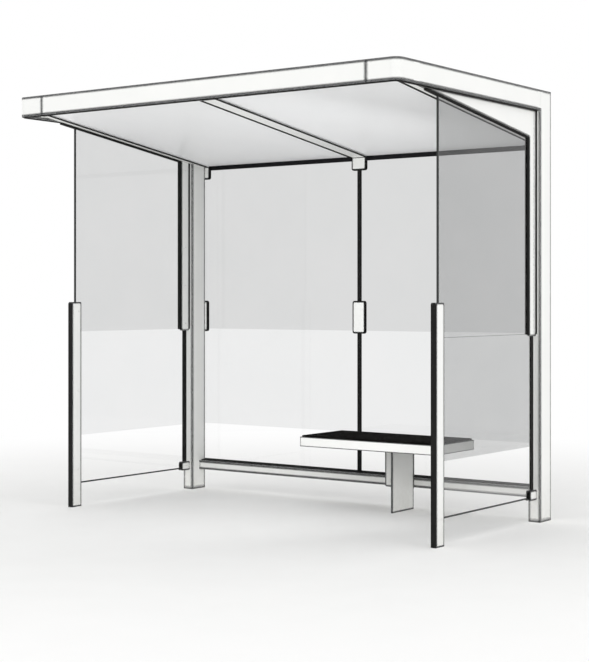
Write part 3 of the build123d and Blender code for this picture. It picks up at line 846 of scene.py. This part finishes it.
# %% Screws of the side walls
LEG_SCREWS = 5
FROM_FOOT = 0.050
FROM_HEAD = 0.060
BEHIND_MIDDLE = 0.012
POST_SCREWS = (0.240, 0.740)
for side, sign in SIDES:
    shape = bmesh.new()
    inward = (-sign, 0, 0)
    plate_low, plate_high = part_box("inner_plate_" + side)
    leg_middle = (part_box("pane_shoe_" + side)[0].y + plate_high.y) / 2
    plate_face = min(abs(plate_low.x), abs(plate_high.x)) * sign
    reach = lower_edge(SLOPE_GUIDE, leg_middle) - plate_low.z - FROM_FOOT - FROM_HEAD
    for i in range(LEG_SCREWS):
        height = plate_low.z + FROM_FOOT + i * reach / (LEG_SCREWS - 1)
        turned(shape, (plate_face, leg_middle, height), inward, BUTTON)
    post_low, post_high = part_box("front_post_" + side)
    post_face = min(abs(post_low.x), abs(post_high.x)) * sign
    post_middle = (post_low.y + post_high.y) / 2 + BEHIND_MIDDLE
    for height in (*POST_SCREWS, post_high.z - FROM_HEAD):
        turned(shape, (post_face, post_middle, height), inward, BUTTON)
    shoe_low, shoe_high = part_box("pane_shoe_" + side)
    shoe_middle = (shoe_low + shoe_high) / 2
    turned(shape, (post_face, shoe_middle.y, shoe_middle.z), inward, BUTTON)
    place_piece("side_screws_" + side, shape, coated_hardware)

# %% [markdown]
# ## Nuts of the rear clamps
# A welded stud comes through the glass from every front jaw, and a dome nut on the rear jaw
# pulls the two together.  So the fronts of the clamps are smooth.

# %% Dome nuts
STUD_RISE = 0.039
shape = bmesh.new()
for name in runs:
    low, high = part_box(name)
    heights = [low.z + share * (high.z - low.z) for share in (0.25, 0.75)]
    if name.startswith("top"):
        heights = [low.z + STUD_RISE]
    for height in heights:
        turned(shape, ((low.x + high.x) / 2, high.y, height), REAR, DOME_NUT)
place_piece("clamp_nuts", shape, zinc)

# %% [markdown]
# ## Bolts of the seat bracket
# The bench hangs on the bottom rail by its bracket.  Two hexagon bolts with washers go
# through the bracket into threaded inserts in the rail.

# %% Bracket bolts
BOLT_PLACES = (0.040, 0.160)
bracket_low, bracket_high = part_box("seat_bracket")
bolt_height = (rail_low.z + rail_high.z) / 2
shape = bmesh.new()
for along in BOLT_PLACES:
    turned(shape, (bracket_low.x + along, bracket_low.y, bolt_height), FRONT, HEX_BOLT)
place_piece("bracket_bolts", shape, coated_hardware)

# %% [markdown]
# ## Slat screws
# Every slat is screwed to the three ribs of the seat frame.  The heads are blackened and
# lie nearly level with the wood.

# %% Slat screws
SLATS = 9
SLAT_GAP = 0.009
RIB_INSET = 0.150
slats_low, slats_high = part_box("seat_slats")
seat_low, seat_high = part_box("seat_frame")
pitch = (slats_high.y - slats_low.y + SLAT_GAP) / SLATS
leg_low, leg_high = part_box("seat_leg")
ribs = (seat_low.x + RIB_INSET, (leg_low.x + leg_high.x) / 2, seat_high.x - RIB_INSET)
shape = bmesh.new()
for i in range(SLATS):
    y = slats_low.y + (pitch - SLAT_GAP) / 2 + i * pitch
    for x in ribs:
        turned(shape, (x, y, slats_high.z), UP, SLAT_SCREW, sides=12)
place_piece("slat_screws", shape, anodised)

# %% [markdown]
# ## Welds
# The frame, the bench and the bottom rail are welded before they are coated.  A fillet weld
# made by hand is a row of overlapping scales, one for every small step of the torch, here
# 6 mm.  The section is a bulging triangle in the corner of two plates, and its size goes
# up and down with the scales.  Both ends are drawn in, where the arc starts and stops.

# %% Fillet welds
WELD_STEP = 0.006


def weld(shape, start, end, first, second, size=4.0):
    """A scaly bead in the corner where faces that run off along first and second meet."""
    start, end, first, second = (Vector(given) for given in (start, end, first, second))
    length = (end - start).length
    stations = max(8, round(length / WELD_STEP * 4))
    loops = []
    for i in range(stations + 1):
        along = length * i / stations
        scale = 0.88 + 0.12 * (1 - (along / WELD_STEP) % 1.0)
        fade = min(1.0, 0.35 + min(along, length - along) / (2 * WELD_STEP))
        spot = start + (end - start) * i / stations
        loop = [shape.verts.new(spot - (first + second) * 0.0004)]
        for turn in quarter(4):
            bulge = 0.80 + 0.20 * abs(math.cos(2 * turn))
            reach = size * scale * fade * bulge / 1000
            loop.append(shape.verts.new(
                spot + (first * math.cos(turn) + second * math.sin(turn)) * reach))
        loops.append(loop)
    skin_over(shape, loops)


# Every bead starts and stops a few millimetres short of the corners.
LEFT = (-1, 0, 0)
shape = bmesh.new()
left_end, right_end = bracket_low.x + 0.006, bracket_high.x - 0.006
for start, end, first, second, size in (
        ((leg_low.x, bracket_low.y, bracket_low.z + 0.012),
         (leg_low.x, bracket_low.y, seat_low.z - 0.002), LEFT, FRONT, 5.0),
        ((left_end, bracket_low.y, seat_low.z),
         (leg_low.x - 0.008, bracket_low.y, seat_low.z), FRONT, DOWN, 4.0),
        ((leg_low.x, leg_low.y + 0.010, leg_high.z),
         (leg_low.x, leg_high.y - 0.010, leg_high.z), LEFT, DOWN, 4.0),
        ((left_end, bracket_high.y - 0.008, bracket_high.z),
         (right_end, bracket_high.y - 0.008, bracket_high.z), REAR, UP, 3.5)):
    weld(shape, start, end, first, second, size)
place_piece("bench_welds", shape, coated_hardware)

# %% [markdown]
# The rail is welded to the posts on its front, on its top and below.  The rafter's web is
# welded to the back of the fascia and the shoes to the fronts of the posts.

# %% Frame welds
shape = bmesh.new()
for side, sign in SIDES:
    x, into = sign * rail_high.x, (-sign, 0, 0)
    for start, end, second in (
            ((rail_low.y, rail_low.z + 0.004), (rail_low.y, rail_high.z - 0.004), FRONT),
            ((rail_low.y + 0.004, rail_high.z), (rail_high.y - 0.020, rail_high.z), UP),
            ((rail_low.y + 0.004, rail_low.z), (rail_high.y - 0.004, rail_low.z), DOWN)):
        weld(shape, (x, *start), (x, *end), into, second)
    ends = [(sign * WEB_HALF, fascia_high.y, rafter_high.z - drop)
            for drop in (0.052, 0.004)]
    weld(shape, *ends, (sign, 0, 0), REAR, 3.5)
    shoe_low, shoe_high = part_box("pane_shoe_" + side)
    for x, away in ((shoe_low.x, -1), (shoe_high.x, 1)):
        ends = [(x, shoe_high.y, z) for z in (shoe_low.z + 0.009, shoe_high.z - 0.009)]
        weld(shape, *ends, (away, 0, 0), FRONT, 3.5)
place_piece("frame_welds", shape, coated_hardware)

# %% [markdown]
# Between a beam's square end and the rounded corner of its post lies a small groove.  It is
# welded full and ground flush with the side of the frame.  The section is what the round
# corner leaves of a square one, and it is 0.05 mm shy of the faces.

# %% Welds that are ground flush
POST_CORNER = 4.0
SHY = 0.05
groove = [(0.0, -SHY), (POST_CORNER, -SHY)] + hollow_corner(POST_CORNER, -POST_CORNER)[1:]
shape = bmesh.new()
for sign in (-1, 1):
    section = [(-sign * u, v) for u, v in groove]
    sweep(shape, [(sign * beam_high.x, beam_high.y, z)
                  for z in (beam_low.z, beam_high.z - SHY / 1000)], (sign, 0, 0), section)
place_piece("ground_welds", shape, coated_steel)

# %% [markdown]
# ## Camera, floor and light
# The camera stands at eye level in front of the shelter and to its right, level, with the
# horizon lifted a little by a lens shift.  The floor is pale and matt and keeps the
# shelter's shadow.  Farther out it turns to plain white, as the world does, for rays that
# come from the camera, a reflection or the glass.  Light is a bright even sky and two
# large soft lamps.  A weak third one hangs under the roof, at the bench, and points at the
# left post, because the roof would leave the steel below it grey.  The lamps give light
# only, and no camera ray, reflection or glass shows them.

# %% Camera
view = bpy.data.cameras.new("eye_level")
view.lens = 82.5
view.sensor_width = 36.0
view.shift_y = -0.0490
camera = bpy.data.objects.new("eye_level", view)
camera.location = (5.514, -7.413, 1.328)
camera.rotation_euler = (math.radians(90), 0.0, math.radians(36.2))
scene.collection.objects.link(camera)
scene.camera = camera
scene.view_settings.view_transform = "Standard"
print("eye height in metres:", camera.location.z)

# %% Pale floor
FADE_START = 2.0
FADE_END = 6.0


def seen_directly(tree):
    """One for rays from the camera, a mirror reflection or glass, and zero for others."""
    path = add(tree, "ShaderNodeLightPath")
    seen = path["Is Camera Ray"]
    for kind in ("Is Glossy Ray", "Is Transmission Ray"):
        seen = add(tree, "ShaderNodeMath", {0: seen, 1: path[kind]}, operation="MAXIMUM")[0]
    return seen


pale_floor, tree, place = finish("pale_floor")
grit = add(tree, "ShaderNodeTexNoise",
           {"Vector": place, "Scale": every(300), "Detail": 6.0})["Fac"]
colour = add(tree, "ShaderNodeMix",
             {0: grit, 6: linear("FAFAF9"), 7: linear("F6F6F5")}, data_type="RGBA")[2]
ground = add(tree, "ShaderNodeBsdfPrincipled",
             {"Base Color": colour, "Roughness": 0.95, "Specular IOR Level": 0.1})[0]
away = add(tree, "ShaderNodeVectorMath", {0: place}, operation="LENGTH")["Value"]
far_out = add(tree, "ShaderNodeMapRange",
              {"Value": away, "From Min": FADE_START, "From Max": FADE_END},
              interpolation_type="SMOOTHSTEP")["Result"]
fade = add(tree, "ShaderNodeMath", {0: far_out, 1: seen_directly(tree)},
           operation="MULTIPLY")[0]
white = add(tree, "ShaderNodeEmission", {"Color": linear("FFFFFF"), "Strength": 1.0})[0]
shown = add(tree, "ShaderNodeMixShader", {0: fade, 1: ground, 2: white})[0]
add(tree, "ShaderNodeOutputMaterial", {"Surface": shown})

sheet = bmesh.new()
bmesh.ops.create_circle(sheet, cap_ends=True, segments=96, radius=60.0)
mesh = bpy.data.meshes.new("studio_floor")
sheet.to_mesh(mesh)
sheet.free()
mesh.materials.append(pale_floor)
floor = bpy.data.objects.new("studio_floor", mesh)
scene.collection.objects.link(floor)
print("floor fades to white from", FADE_START, "to", FADE_END, "m from the middle")

# %% Sky and lamps
SKY_LIGHT = 0.90
world = bpy.data.worlds.new("studio_sky")
world.use_nodes = True
scene.world = world
tree = world.node_tree
tree.nodes.clear()
level = add(tree, "ShaderNodeMapRange",
            {"Value": seen_directly(tree), "To Min": SKY_LIGHT, "To Max": 1.0})["Result"]
sky = add(tree, "ShaderNodeBackground", {"Color": linear("FFFFFF"), "Strength": level})
add(tree, "ShaderNodeOutputWorld", {"Surface": sky[0]})


def soft_lamp(name, where, toward, size, watts):
    """A square soft box that hangs at one place and points at another."""
    light = bpy.data.lights.new(name, "AREA")
    light.size = size
    light.energy = watts
    lamp = bpy.data.objects.new(name, light)
    lamp.location = where
    aim = Vector(toward) - Vector(where)
    lamp.rotation_euler = aim.to_track_quat("-Z", "Y").to_euler()
    lamp.visible_camera = lamp.visible_glossy = lamp.visible_transmission = False
    scene.collection.objects.link(lamp)
    print(name, "at", where, "watts", watts)


soft_lamp("key_soft_box", (-0.6, -8.2, 3.2), (0.0, 0.0, 1.2), 5.0, 102.0)
soft_lamp("side_soft_box", (8.0, -1.5, 3.2), (0.0, 0.0, 1.2), 4.0, 92.0)
soft_lamp("inner_soft_box", (0.85, -0.4, 1.35), (-1.3, 0.8, 1.35), 1.2, 7.5)

# %% [markdown]
# ## Finish
# The last cell brings the scene up to date.

# %% Finish
bpy.context.view_layer.update()
